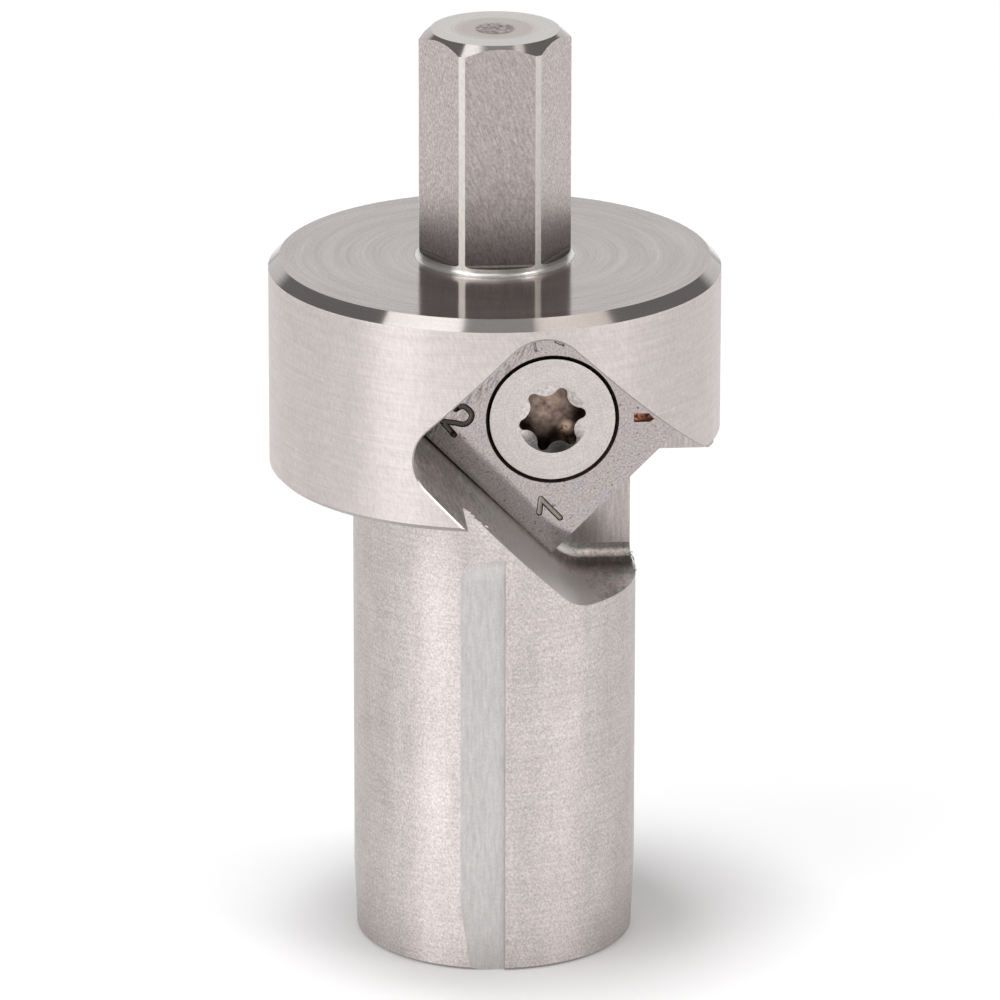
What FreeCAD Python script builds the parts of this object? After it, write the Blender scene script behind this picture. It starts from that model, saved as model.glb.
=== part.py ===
import FreeCAD, Part
import math
import os
import Sketcher

# Chamfering reamer for 20 mm holes, in millimetres.
# A round pilot guides in the hole, a square knife in a slanting pocket chamfers the rim, and the
# flange stops on the surface. A hexagonal shank above it takes the drive.
# +Z is up along the axis of rotation, and the origin is the centre of the pilot's foot. The knife's
# cutting face lies on the axial plane Y = 0 and looks towards -Y.

SIZES = {
    "pilot_diameter": 20,
    "pilot_length": 34.75,
    "lead_in_length": 5,
    "lead_in_drop": 0.2,
    "foot_break": 0.2,
    "neck_fillet": 0.5,
    "flange_diameter": 31.75,
    "flange_thickness": 15.25,
    "flange_chamfer": 0.75,
    "rim_break": 0.35,
    "shank_length": 16.4,
    "shank_diameter": 10.64,
    "shank_flats": 9.45,
    "shank_chamfer_width": 0.83,
    "shank_chamfer_height": 0.74,
    "collar_height": 0.5,
    "collar_fillet": 0.3,
    "flat_foot_fillet": 0.2,
    "knife_side": 14,
    "knife_thickness": 2,
    "knife_relief": 30,
    "knife_offset": 4.1,
    "knife_height": 37.75,
    "knife_bore": 5.6,
    "countersink_diameter": 9.45,
    "countersink_angle": 90,
    "pocket_side_gap": 0.15,
    "pocket_end_gap": 2.9,
    "pocket_floor_height": 26.6,
    "pocket_dressed_height": 37.6,
    "pocket_dressed_radius": 1.5,
    "cutter_radius": 3,
    "pocket_rim_break": 0.12,
    "seat_fillet": 1.2,
    "flute_depth": 0.5,
    "flute_height": 29.1,
    "screw_diameter": 5,
    "screw_length": 11,
    "screw_head_diameter": 8.88,
    "screw_hole_depth": 10.5,
    "screw_hole_gap": 0.1,
    "screw_hole_mouth": 5.8,
    "screw_turn": 11,
    "recess_width": 4.8,
    "recess_waist": 3.4,
    "recess_tip_radius": 0.4,
    "recess_depth": 1.8,
    "recess_lead_in_diameter": 5,
    "recess_lead_in_depth": 0.75,
}


class Length:
    """A size that carries its value and the formula that gives it from the sheet."""

    def __init__(self, value, formula):
        self.value = float(value)
        self.formula = formula

    def __add__(self, other):
        other = length(other)
        return Length(self.value + other.value, f"({self.formula} + {other.formula})")

    def __sub__(self, other):
        other = length(other)
        return Length(self.value - other.value, f"({self.formula} - {other.formula})")

    def __neg__(self):
        return Length(-self.value, f"(0 - {self.formula})")

    def __truediv__(self, number):
        return Length(self.value / number, f"({self.formula} / {number})")


def length(value):
    """A plain number as a length, or a length as it is."""
    if isinstance(value, Length):
        return value
    return Length(value, str(value))


def size(name):
    """The driving size of that name."""
    return Length(SIZES[name], f"Sizes.{name}")


def make_sheet(document):
    """The sheet of driving sizes: the name in one column, the number with its alias in the next."""
    sheet = document.addObject("Spreadsheet::Sheet", "Sizes")
    for row, (name, value) in enumerate(SIZES.items(), start=1):
        sheet.set(f"A{row}", name)
        sheet.set(f"B{row}", str(value))
        sheet.setAlias(f"B{row}", name)
    document.recompute()


def new_body(document, name):
    """An empty body with its label."""
    body = document.addObject("PartDesign::Body", name)
    body.Label = name
    return body


def origin_feature(body, role):
    """The body's own origin plane or axis of that role."""
    return next(item for item in body.Origin.OriginFeatures if item.Role == role)


def new_sketch(body, name, role, offset=None):
    """A sketch on one of the body's origin planes, moved along the plane's normal by the offset."""
    sketch = body.newObject("Sketcher::SketchObject", name)
    sketch.AttachmentSupport = [(origin_feature(body, role), "")]
    sketch.MapMode = "FlatFace"
    if offset is not None:
        sketch.AttachmentOffset.Base.z = offset.value
        sketch.setExpression("AttachmentOffset.Base.z", offset.formula)
    return sketch


def bind(sketch, *terms, to):
    """Adds a constraint whose last value is a length bound to the sheet."""
    index = sketch.addConstraint(Sketcher.Constraint(*terms, to.value))
    sketch.setExpression(f"Constraints[{index}]", to.formula)


def bind_angle(sketch, *terms, to):
    """Adds an angle constraint bound to a formula in degrees."""
    index = sketch.addConstraint(Sketcher.Constraint("Angle", *terms, math.radians(to.value)))
    sketch.setExpression(f"Constraints[{index}]", f"{to.formula} * 1 deg")


def place_point(sketch, geometry, end, across, up):
    """Ties a point of the sketch to its two coordinates from the sketch's origin."""
    for kind, axis, distance in (("DistanceX", -2, across), ("DistanceY", -1, up)):
        if distance.value == 0:
            sketch.addConstraint(Sketcher.Constraint("PointOnObject", geometry, end, axis))
        elif distance.value > 0:
            bind(sketch, kind, -1, 1, geometry, end, to=distance)
        else:
            bind(sketch, kind, geometry, end, -1, 1, to=-distance)


def vector(point):
    """A sketch point as a vector."""
    return FreeCAD.Vector(point[0].value, point[1].value, 0)


def arc_geometry(centre, start, end):
    """The short arc between two points, with the numbers of its ends in that order."""
    first = math.atan2(start.y - centre.y, start.x - centre.x)
    last = math.atan2(end.y - centre.y, end.x - centre.x)
    circle = Part.Circle(centre, FreeCAD.Vector(0, 0, 1), (start - centre).Length)
    if (last - first) % (2 * math.pi) < math.pi:
        return Part.ArcOfCircle(circle, first, last), 1, 2
    return Part.ArcOfCircle(circle, last, first), 2, 1


def draw_profile(sketch, corners, rounds=None):
    """A closed outline through the corners, each tied to the sheet.

    rounds gives the edges that are arcs: the number of the edge's first corner, with the centre
    and the radius of its arc.
    """
    rounds = rounds or {}
    edges = []
    for index, corner in enumerate(corners):
        start = vector(corner)
        end = vector(corners[(index + 1) % len(corners)])
        if index in rounds:
            centre, radius = rounds[index]
            arc, first, last = arc_geometry(vector(centre), start, end)
            geometry = sketch.addGeometry(arc, False)
            bind(sketch, "Radius", geometry, to=radius)
        else:
            geometry = sketch.addGeometry(Part.LineSegment(start, end), False)
            first, last = 1, 2
        edges.append((geometry, first, last))
    for index, (geometry, first, last) in enumerate(edges):
        following, begin, _ = edges[(index + 1) % len(edges)]
        sketch.addConstraint(Sketcher.Constraint("Coincident", geometry, last, following, begin))
        across, up = corners[index]
        place_point(sketch, geometry, first, across, up)


def revolve_profile(body, sketch, name):
    """Turns a profile round the sketch's upright axis."""
    turned = body.newObject("PartDesign::Revolution", name)
    turned.Profile = sketch
    turned.ReferenceAxis = (sketch, ["V_Axis"])
    turned.Angle = 360
    body.Document.recompute()
    return turned


def cut_profile(body, sketch, name, depth, forwards):
    """A pocket from the sketch's plane, along its normal or against it."""
    before = body.Shape.Volume
    pocket = body.newObject("PartDesign::Pocket", name)
    pocket.Profile = sketch
    pocket.Type = "Length"
    pocket.Reversed = forwards
    pocket.Length = depth.value
    pocket.setExpression("Length", depth.formula)
    body.Document.recompute()
    if body.Shape.Volume > before - 0.01:
        raise RuntimeError(f"{name} cuts nothing")
    return pocket


def edge_names(shape, wanted):
    """The names of a shape's edges that a test accepts."""
    return [f"Edge{number}" for number, edge in enumerate(shape.Edges, start=1) if wanted(edge)]


def dress_edges(body, kind, name, base, names, dimension):
    """A fillet or a chamfer on named edges of the last feature."""
    dressed = body.newObject(f"PartDesign::{kind}", name)
    dressed.Base = (base, names)
    target = "Radius" if kind == "Fillet" else "Size"
    setattr(dressed, target, dimension.value)
    dressed.setExpression(target, dimension.formula)
    body.Document.recompute()
    return dressed


def turned_blank(body):
    """Pilot, flange, collar and round shank, turned in one piece."""
    nothing = length(0)
    pilot = size("pilot_diameter") / 2
    foot = pilot - size("lead_in_drop")
    flange = size("flange_diameter") / 2
    shank = size("shank_diameter") / 2
    under = size("pilot_length")
    top = under + size("flange_thickness")
    end = top + size("shank_length")
    corners = [
        (nothing, nothing),
        (foot - size("foot_break"), nothing),
        (foot, size("foot_break")),
        (pilot, size("lead_in_length")),
        (pilot, under - size("neck_fillet")),
        (pilot + size("neck_fillet"), under),
        (flange - size("rim_break"), under),
        (flange, under + size("rim_break")),
        (flange, top - size("flange_chamfer")),
        (flange - size("flange_chamfer"), top),
        (shank + size("collar_fillet"), top),
        (shank, top + size("collar_fillet")),
        (shank, end - size("shank_chamfer_height")),
        (shank - size("shank_chamfer_width"), end),
        (nothing, end),
    ]
    rounds = {
        4: ((pilot + size("neck_fillet"), under - size("neck_fillet")), size("neck_fillet")),
        10: ((shank + size("collar_fillet"), top + size("collar_fillet")), size("collar_fillet")),
    }
    sketch = new_sketch(body, "TurnedProfile", "XZ_Plane")
    draw_profile(sketch, corners, rounds)
    return revolve_profile(body, sketch, "TurnedBlank")


def shank_flats(body):
    """Six flats milled down to a low collar; the corners between them stay as turned."""
    collar_top = size("pilot_length") + size("flange_thickness") + size("collar_height")
    across = size("shank_flats")
    corner_radius = across.value / math.sqrt(3)
    around = size("shank_diameter").value
    sketch = new_sketch(body, "FlatsProfile", "XY_Plane", collar_top)
    ring = Part.Circle(FreeCAD.Vector(0, 0, 0), FreeCAD.Vector(0, 0, 1), around)
    outer = sketch.addGeometry(ring, False)
    sketch.addConstraint(Sketcher.Constraint("Coincident", outer, 3, -1, 1))
    bind(sketch, "Diameter", outer, to=size("shank_diameter") + size("shank_diameter"))
    guide_circle = Part.Circle(FreeCAD.Vector(0, 0, 0), FreeCAD.Vector(0, 0, 1), corner_radius)
    guide = sketch.addGeometry(guide_circle, True)
    sketch.addConstraint(Sketcher.Constraint("Coincident", guide, 3, -1, 1))
    points = []
    for step in range(6):
        angle = math.radians(60 * step)
        points.append(FreeCAD.Vector(corner_radius * math.cos(angle), corner_radius * math.sin(angle), 0))
    sides = []
    for step in range(6):
        side = Part.LineSegment(points[step], points[(step + 1) % 6])
        sides.append(sketch.addGeometry(side, False))
    for step, side in enumerate(sides):
        following = sides[(step + 1) % 6]
        sketch.addConstraint(Sketcher.Constraint("Coincident", side, 2, following, 1))
        sketch.addConstraint(Sketcher.Constraint("PointOnObject", side, 1, guide))
        if step:
            sketch.addConstraint(Sketcher.Constraint("Equal", sides[0], side))
    sketch.addConstraint(Sketcher.Constraint("Horizontal", sides[1]))
    bind(sketch, "Distance", -1, 1, sides[1], to=across / 2)
    return cut_profile(body, sketch, "ShankFlats", size("shank_length"), True)


def flat_foot_fillet(body, flats):
    """The corner radius of the cutter, left along the foot of each flat."""
    collar_top = SIZES["pilot_length"] + SIZES["flange_thickness"] + SIZES["collar_height"]
    across = SIZES["shank_flats"]

    def at_flat_foot(edge):
        middle = edge.discretize(3)[1]
        return abs(middle.z - collar_top) < 1e-3 and abs(2 * math.hypot(middle.x, middle.y) - across) < 1e-3

    names = edge_names(flats.Shape, at_flat_foot)
    return dress_edges(body, "Fillet", "FlatFootFillet", flats, names, size("flat_foot_fillet"))


def tangent_chain(sketch, pieces):
    """Joins lines and arcs end to end, tangent where either of the two is an arc."""
    for index, (geometry, _, last, curved) in enumerate(pieces):
        following, begin, _, next_curved = pieces[(index + 1) % len(pieces)]
        kind = "Tangent" if curved or next_curved else "Coincident"
        sketch.addConstraint(Sketcher.Constraint(kind, geometry, last, following, begin))


def knife_pocket(body):
    """The slanting pocket: two walls beside the knife, a rounded blind end, and a way out for chips.

    It is milled towards +Y down to the seat behind the knife. The lower wall runs past the knife
    into the pilot and turns to a level floor; below the upper wall the pocket is open to the side.
    """
    seat = size("knife_thickness")
    root = math.sqrt(0.5)
    centre = FreeCAD.Vector(SIZES["knife_offset"], SIZES["knife_height"], 0)
    down = FreeCAD.Vector(root, -root, 0)
    out = FreeCAD.Vector(root, root, 0)
    side = size("knife_side") / 2 + size("pocket_side_gap")
    end = size("knife_side") / 2 + size("pocket_end_gap")
    radius = SIZES["cutter_radius"]
    floor = SIZES["pocket_floor_height"]
    dressed = SIZES["pocket_dressed_height"]
    dressing = SIZES["pocket_dressed_radius"]
    beyond = size("flange_diameter") / 2 + size("cutter_radius")
    turn = math.tan(math.radians(22.5))

    left_centre = centre - down * (end.value - radius) - out * (side.value - radius)
    top_centre = centre - down * (end.value - radius) + out * (side.value - radius)
    lower_line = centre - out * side.value
    floor_corner = FreeCAD.Vector(lower_line.x + lower_line.y - floor, floor, 0)
    upper_line = centre + out * side.value
    dressed_corner = FreeCAD.Vector(upper_line.x + upper_line.y - dressed, dressed, 0)
    floor_start = floor_corner + FreeCAD.Vector(radius * turn, 0, 0)
    dressed_end = dressed_corner + FreeCAD.Vector(dressing * turn, 0, 0)
    lower = [left_centre - out * radius, floor_corner - down * (radius * turn)]
    level = [floor_start, FreeCAD.Vector(beyond.value, floor, 0)]
    upright = [level[1], FreeCAD.Vector(beyond.value, dressed, 0)]
    ledge = [upright[1], dressed_end]
    upper = [dressed_corner - down * (dressing * turn), top_centre + out * radius]
    blind = [top_centre - down * radius, left_centre - down * radius]

    sketch = new_sketch(body, "PocketProfile", "XZ_Plane", -seat)

    def add_line(points):
        geometry = sketch.addGeometry(Part.LineSegment(points[0], points[1]), False)
        return geometry, 1, 2, False

    def add_arc(arc_centre, start, finish, radius_size):
        arc, first, last = arc_geometry(arc_centre, start, finish)
        geometry = sketch.addGeometry(arc, False)
        bind(sketch, "Radius", geometry, to=radius_size)
        return geometry, first, last, True

    floor_centre = floor_start + FreeCAD.Vector(0, radius, 0)
    dressed_centre = dressed_end + FreeCAD.Vector(0, dressing, 0)
    chain = [
        add_line(lower),
        add_arc(floor_centre, lower[1], floor_start, size("cutter_radius")),
        add_line(level),
        add_line(upright),
        add_line(ledge),
        add_arc(dressed_centre, dressed_end, upper[0], size("pocket_dressed_radius")),
        add_line(upper),
        add_arc(top_centre, upper[1], blind[0], size("cutter_radius")),
        add_line(blind),
        add_arc(left_centre, blind[1], lower[0], size("cutter_radius")),
    ]
    tangent_chain(sketch, chain)
    lower_wall, floor_wall, outer_side, ledge_wall, upper_wall, blind_wall = (
        chain[place][0] for place in (0, 2, 3, 4, 6, 8)
    )
    middle = sketch.addGeometry(Part.Point(centre), True)
    place_point(sketch, middle, 1, size("knife_offset"), size("knife_height"))
    bind_angle(sketch, lower_wall, to=length(-45))
    sketch.addConstraint(Sketcher.Constraint("Parallel", lower_wall, upper_wall))
    sketch.addConstraint(Sketcher.Constraint("Perpendicular", lower_wall, blind_wall))
    bind(sketch, "Distance", middle, 1, lower_wall, to=side)
    bind(sketch, "Distance", middle, 1, upper_wall, to=side)
    bind(sketch, "Distance", middle, 1, blind_wall, to=end)
    sketch.addConstraint(Sketcher.Constraint("Horizontal", floor_wall))
    sketch.addConstraint(Sketcher.Constraint("Vertical", outer_side))
    sketch.addConstraint(Sketcher.Constraint("Horizontal", ledge_wall))
    bind(sketch, "DistanceY", -1, 1, floor_wall, 1, to=size("pocket_floor_height"))
    bind(sketch, "DistanceY", -1, 1, ledge_wall, 1, to=size("pocket_dressed_height"))
    bind(sketch, "DistanceX", -1, 1, outer_side, 1, to=beyond)
    return cut_profile(body, sketch, "KnifePocket", size("flange_diameter"), True)


def seat_fillet(body, pocket):
    """The cutter's corner radius, all round the foot of the pocket's walls."""
    seat = SIZES["knife_thickness"]
    radii = (SIZES["pilot_diameter"] / 2, SIZES["flange_diameter"] / 2)

    def at_wall_foot(edge):
        points = edge.discretize(5)
        if any(abs(point.y - seat) > 1e-4 for point in points):
            return False
        middle = points[2]
        on_side = any(abs(math.hypot(middle.x, middle.y) - radius) < 1e-3 for radius in radii)
        underneath = abs(middle.z - SIZES["pilot_length"]) < SIZES["neck_fillet"] + 1e-3
        return not on_side and not underneath

    names = edge_names(pocket.Shape, at_wall_foot)
    return dress_edges(body, "Fillet", "SeatFillet", pocket, names, size("seat_fillet"))


def pocket_rim_break(body, dressed):
    """A small edge break along the pocket's rim on the flange's side."""
    radius = SIZES["flange_diameter"] / 2
    front = -SIZES["pilot_diameter"] / 4

    def on_rim(edge):
        points = edge.discretize(5)
        if any(abs(math.hypot(point.x, point.y) - radius) > 1e-3 for point in points):
            return False
        heights = [point.z for point in points]
        return points[2].y < front and max(heights) - min(heights) > 1

    names = edge_names(dressed.Shape, on_rim)
    return dress_edges(body, "Chamfer", "PocketRimBreak", dressed, names, size("pocket_rim_break"))


def screw_hole(body):
    """The blind hole behind the knife, drawn at its thread's full diameter, with a drill point."""
    sketch = new_sketch(body, "ScrewHoleCentre", "XZ_Plane", -size("knife_thickness"))
    centre = FreeCAD.Vector(SIZES["knife_offset"], SIZES["knife_height"], 0)
    ring = Part.Circle(centre, FreeCAD.Vector(0, 0, 1), SIZES["screw_diameter"] / 2)
    circle = sketch.addGeometry(ring, False)
    bind(sketch, "Diameter", circle, to=size("screw_diameter"))
    place_point(sketch, circle, 3, size("knife_offset"), size("knife_height"))
    body.Document.recompute()
    before = body.Shape.Volume
    hole = body.newObject("PartDesign::Hole", "ScrewHole")
    hole.Profile = sketch
    hole.Diameter = SIZES["screw_diameter"]
    hole.setExpression("Diameter", "Sizes.screw_diameter")
    hole.DepthType = "Dimension"
    hole.Depth = SIZES["screw_hole_depth"]
    hole.setExpression("Depth", "Sizes.screw_hole_depth")
    hole.DrillPoint = "Angled"
    hole.HoleCutType = "Countersink"
    hole.HoleCutDiameter = SIZES["screw_hole_mouth"]
    hole.setExpression("HoleCutDiameter", "Sizes.screw_hole_mouth")
    hole.HoleCutCountersinkAngle = SIZES["countersink_angle"]
    hole.setExpression("HoleCutCountersinkAngle", "Sizes.countersink_angle")
    body.Document.recompute()
    if body.Shape.Volume > before - 1:
        raise RuntimeError("ScrewHole cuts nothing")
    return hole


def reaming_flute(body):
    """The flute on the pilot's front: a flat floor that runs out at its left, and a radial wall.

    An end mill lying across the pilot cuts it, so its upper end rises with the cutter's radius.
    The radial wall, on the plane X = 0, is the scraping edge.
    """
    floor = size("pilot_diameter") / 2 - size("flute_depth")
    outside = floor + size("cutter_radius")
    below = -size("cutter_radius")
    height = size("flute_height")
    corners = [
        (-floor, below),
        (-floor, height),
        (-outside, height + size("cutter_radius")),
        (-outside, below),
    ]
    rounds = {1: ((-outside, height), size("cutter_radius"))}
    sketch = new_sketch(body, "FluteProfile", "YZ_Plane")
    draw_profile(sketch, corners, rounds)
    return cut_profile(body, sketch, "ReamingFlute", size("pilot_diameter") / 4, False)


def make_tool_body(document):
    """Shank, flange and pilot: one bar, turned and then milled."""
    body = new_body(document, "tool_body")
    turned_blank(body)
    flats = shank_flats(body)
    flat_foot_fillet(body, flats)
    pocket = knife_pocket(body)
    filleted = seat_fillet(body, pocket)
    pocket_rim_break(body, filleted)
    screw_hole(body)
    reaming_flute(body)
    return body


def stand_on_axial_plane(body, turn):
    """Lays a piece modelled along +Z so that its face looks towards -Y at the knife's place."""
    lay_down = FreeCAD.Rotation(FreeCAD.Vector(1, 0, 0), 90)
    spin = FreeCAD.Rotation(FreeCAD.Vector(0, 0, 1), turn)
    place = FreeCAD.Vector(SIZES["knife_offset"], 0, SIZES["knife_height"])
    body.Placement = FreeCAD.Placement(place, lay_down.multiply(spin))
    body.setExpression("Placement.Base.x", "Sizes.knife_offset")
    body.setExpression("Placement.Base.z", "Sizes.knife_height")


def make_knife(document):
    """Square reversible knife: sharp at its face, relieved on four sides, countersunk in the middle."""
    body = new_body(document, "cutting_insert")
    half = size("knife_side") / 2
    sketch = new_sketch(body, "KnifeFace", "XY_Plane")
    draw_profile(sketch, [(-half, -half), (half, -half), (half, half), (-half, half)])
    blank = body.newObject("PartDesign::Pad", "KnifeBlank")
    blank.Profile = sketch
    blank.Reversed = True
    blank.Length = SIZES["knife_thickness"]
    blank.setExpression("Length", "Sizes.knife_thickness")
    blank.TaperAngle = -SIZES["knife_relief"]
    blank.setExpression("TaperAngle", "0 - Sizes.knife_relief")
    document.recompute()
    centre = new_sketch(body, "KnifeHoleCentre", "XY_Plane")
    ring = Part.Circle(FreeCAD.Vector(0, 0, 0), FreeCAD.Vector(0, 0, 1), SIZES["knife_bore"] / 2)
    circle = centre.addGeometry(ring, False)
    centre.addConstraint(Sketcher.Constraint("Coincident", circle, 3, -1, 1))
    bind(centre, "Diameter", circle, to=size("knife_bore"))
    document.recompute()
    hole = body.newObject("PartDesign::Hole", "KnifeHole")
    hole.Profile = centre
    hole.Diameter = SIZES["knife_bore"]
    hole.setExpression("Diameter", "Sizes.knife_bore")
    hole.DepthType = "ThroughAll"
    hole.HoleCutType = "Countersink"
    hole.HoleCutDiameter = SIZES["countersink_diameter"]
    hole.setExpression("HoleCutDiameter", "Sizes.countersink_diameter")
    hole.HoleCutCountersinkAngle = SIZES["countersink_angle"]
    hole.setExpression("HoleCutCountersinkAngle", "Sizes.countersink_angle")
    document.recompute()
    stand_on_axial_plane(body, 45)
    return body


def screw_blank(body):
    """Head with a shallow hollow cone, a narrow upright rim, its cone, and a shank with a pointed end."""
    nothing = length(0)
    head = size("screw_head_diameter") / 2
    shank = size("screw_diameter") / 2 - size("screw_hole_gap")
    rim = size("countersink_diameter") / 2 - head
    lead_in = size("recess_lead_in_diameter") / 2
    hollow = size("recess_lead_in_depth")
    cone_end = rim + head - shank
    tip = size("screw_diameter") / 8
    corners = [
        (nothing, -hollow),
        (lead_in, nothing),
        (head, nothing),
        (head, -rim),
        (shank, -cone_end),
        (shank, tip - size("screw_length")),
        (shank - tip, -size("screw_length")),
        (nothing, -size("screw_length")),
    ]
    sketch = new_sketch(body, "ScrewProfile", "XZ_Plane")
    draw_profile(sketch, corners)
    return revolve_profile(body, sketch, "ScrewBlank")


def six_lobe_recess(body):
    """One sixth of the driver recess, a round lobe between two hollow flanks, repeated six times."""
    width = size("recess_width") / 2
    waist = size("recess_waist") / 2
    tip = size("recess_tip_radius")
    lobe = (width - tip).value
    half = math.radians(30)
    # The flank's radius makes the hollow flank touch the round lobe.
    gap = lobe**2 + waist.value**2 - tip.value**2 - 2 * lobe * waist.value * math.cos(half)
    flank = gap / (2 * (tip.value - waist.value + lobe * math.cos(half)))
    lobe_centre = FreeCAD.Vector(lobe, 0, 0)
    sketch = new_sketch(body, "LobeProfile", "XY_Plane")
    origin = FreeCAD.Vector(0, 0, 0)
    spokes = []
    flanks = []
    joins = []
    for sign in (-1, 1):
        spoke_way = FreeCAD.Vector(math.cos(half), sign * math.sin(half), 0)
        waist_point = spoke_way * waist.value
        flank_centre = spoke_way * (waist.value + flank)
        join = lobe_centre + (flank_centre - lobe_centre).normalize() * tip.value
        spokes.append(sketch.addGeometry(Part.LineSegment(origin, waist_point), False))
        arc, first, last = arc_geometry(flank_centre, waist_point, join)
        flanks.append((sketch.addGeometry(arc, False), first, last))
        joins.append(join)
    arc, first, last = arc_geometry(lobe_centre, joins[0], joins[1])
    round_tip = sketch.addGeometry(arc, False)
    for index, tip_end in enumerate((first, last)):
        flank_arc, flank_first, flank_last = flanks[index]
        spoke = spokes[index]
        sketch.addConstraint(Sketcher.Constraint("Coincident", spoke, 1, -1, 1))
        sketch.addConstraint(Sketcher.Constraint("Coincident", spoke, 2, flank_arc, flank_first))
        sketch.addConstraint(Sketcher.Constraint("PointOnObject", flank_arc, 3, spoke))
        sketch.addConstraint(Sketcher.Constraint("Tangent", flank_arc, flank_last, round_tip, tip_end))
        bind(sketch, "Distance", spoke, 1, spoke, 2, to=waist)
    bind_angle(sketch, spokes[0], to=length(-30))
    bind_angle(sketch, spokes[1], to=length(30))
    sketch.addConstraint(Sketcher.Constraint("PointOnObject", round_tip, 3, -1))
    bind(sketch, "DistanceX", -1, 1, round_tip, 3, to=width - tip)
    bind(sketch, "Radius", round_tip, to=tip)
    cut = cut_profile(body, sketch, "Lobe", size("recess_depth"), False)
    around = body.newObject("PartDesign::PolarPattern", "SixLobes")
    around.Originals = [cut]
    around.Axis = (origin_feature(body, "Z_Axis"), [""])
    around.Angle = 360
    around.Occurrences = 6
    body.Tip = around
    body.Document.recompute()
    return around


def make_screw(document):
    """Countersunk screw with a six-lobe recess."""
    body = new_body(document, "insert_screw")
    screw_blank(body)
    six_lobe_recess(body)
    stand_on_axial_plane(body, SIZES["screw_turn"])
    return body


def check(document, bodies):
    """Stops if anything failed, or a piece is empty or broken."""
    for item in document.Objects:
        if "Invalid" in item.State or "Error" in item.State:
            raise RuntimeError(f"{item.Label} failed: {item.State}")
    for body in bodies:
        shape = body.Shape
        if shape.isNull() or not shape.isValid() or len(shape.Solids) != 1:
            raise RuntimeError(f"{body.Label} isn't one sound solid")


def main():
    """Builds the three pieces and writes one file for each."""
    document = FreeCAD.newDocument("ChamferingReamer")
    make_sheet(document)
    bodies = [make_tool_body(document), make_knife(document), make_screw(document)]
    document.recompute()
    check(document, bodies)
    os.makedirs("parts", exist_ok=True)
    for body in bodies:
        body.Shape.exportStep(f"parts/{body.Label}.step")
        box = body.Shape.BoundBox
        print(body.Label, round(body.Shape.Volume, 2), box)


main()
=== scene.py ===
import math

import bmesh
import bpy
from mathutils import Matrix, Vector, noise


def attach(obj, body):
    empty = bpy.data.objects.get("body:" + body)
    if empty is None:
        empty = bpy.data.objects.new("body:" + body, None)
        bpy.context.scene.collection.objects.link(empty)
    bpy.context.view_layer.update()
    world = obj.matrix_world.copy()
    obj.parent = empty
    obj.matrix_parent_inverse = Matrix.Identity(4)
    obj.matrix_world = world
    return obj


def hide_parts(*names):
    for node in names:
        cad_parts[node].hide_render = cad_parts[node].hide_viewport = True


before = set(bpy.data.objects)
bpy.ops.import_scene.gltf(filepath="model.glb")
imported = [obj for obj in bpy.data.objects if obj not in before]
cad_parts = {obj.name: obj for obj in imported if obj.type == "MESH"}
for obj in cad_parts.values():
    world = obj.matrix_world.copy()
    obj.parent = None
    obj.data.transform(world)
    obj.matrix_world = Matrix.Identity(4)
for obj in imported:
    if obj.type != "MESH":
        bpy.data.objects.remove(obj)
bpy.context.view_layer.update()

# Chamfering reamer: the looks of its turned body, its knife and its screw.
# Sizes are in millimetres, and MM turns them to the metres of a mesh.
MM = 0.001
# Marks on the shank and the turned sides lean over by 20 degrees.
NO_TURN = (0.0, 0.0, 0.0)
SLANT = (0.0, 0.35, 0.0)
# A corner this close to a surface lies on it.
NEAR = 0.004
# The share of a direction in a face's normal from which it leans that way, faces it or points along it.
LEANING = 0.3
FACING = 0.9
POINTING = 0.99

# Body
SHANK_END = 66.4
SHANK_CHAMFER = 0.74
SHANK_RADIUS = 5.32
FLAT_DISTANCE = 4.725
COLLAR_FILLET = 0.3
FLANGE_TOP = 50.0
FLANGE_BOTTOM = 34.75
FLANGE_RADIUS = 15.875
FLANGE_CHAMFER = 0.75
RIM_BREAK = 0.35
NECK_FILLET = 0.5
PILOT_RADIUS = 10.0
LEAD_IN_LENGTH = 5.0
FOOT_BREAK = 0.2
FLUTE_DISTANCE = 9.5
FLUTE_SHALLOWEST = 9.4
FLUTE_FLAT_TOP = 30.0
FLUTE_TOP = 32.2
SEAT = 2.0
# How far the pocket's broken rim reaches into the flange, and where the painted highlight on its lower
# stretch ends.
POCKET_RIM_REACH = 0.3
PAINTED_HIGHLIGHT_RIGHT = 2.5
PAINTED_HIGHLIGHT_TOP = 38.5

# Shank's end: the disc that was cut last, between full and gone, and the rough pip in its middle
END_DISC_FULL = 2.3
END_DISC_GONE = 3.2
PIP_RADIUS = 1.5
PIP_HEIGHT = 0.1
PIP_SINK = 0.05
PIP_RINGS = 11
PIP_STEPS = 40

# Knife: a square on its corner, whose lower right and upper right directions are DOWN and OUT.
KNIFE_CENTRE = Vector((4.1, 0.0, 37.75))
KNIFE_HALF = 7.0
BORE_REACH = 4.9
DOWN = Vector((math.sqrt(0.5), 0.0, -math.sqrt(0.5)))
OUT = Vector((math.sqrt(0.5), 0.0, math.sqrt(0.5)))
# It has settled towards the pocket's lower wall, more at its lower corner.
LOWER_SIDE_SETTLED = 0.085
LOWER_SIDE_TURNED = 0.06

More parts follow.
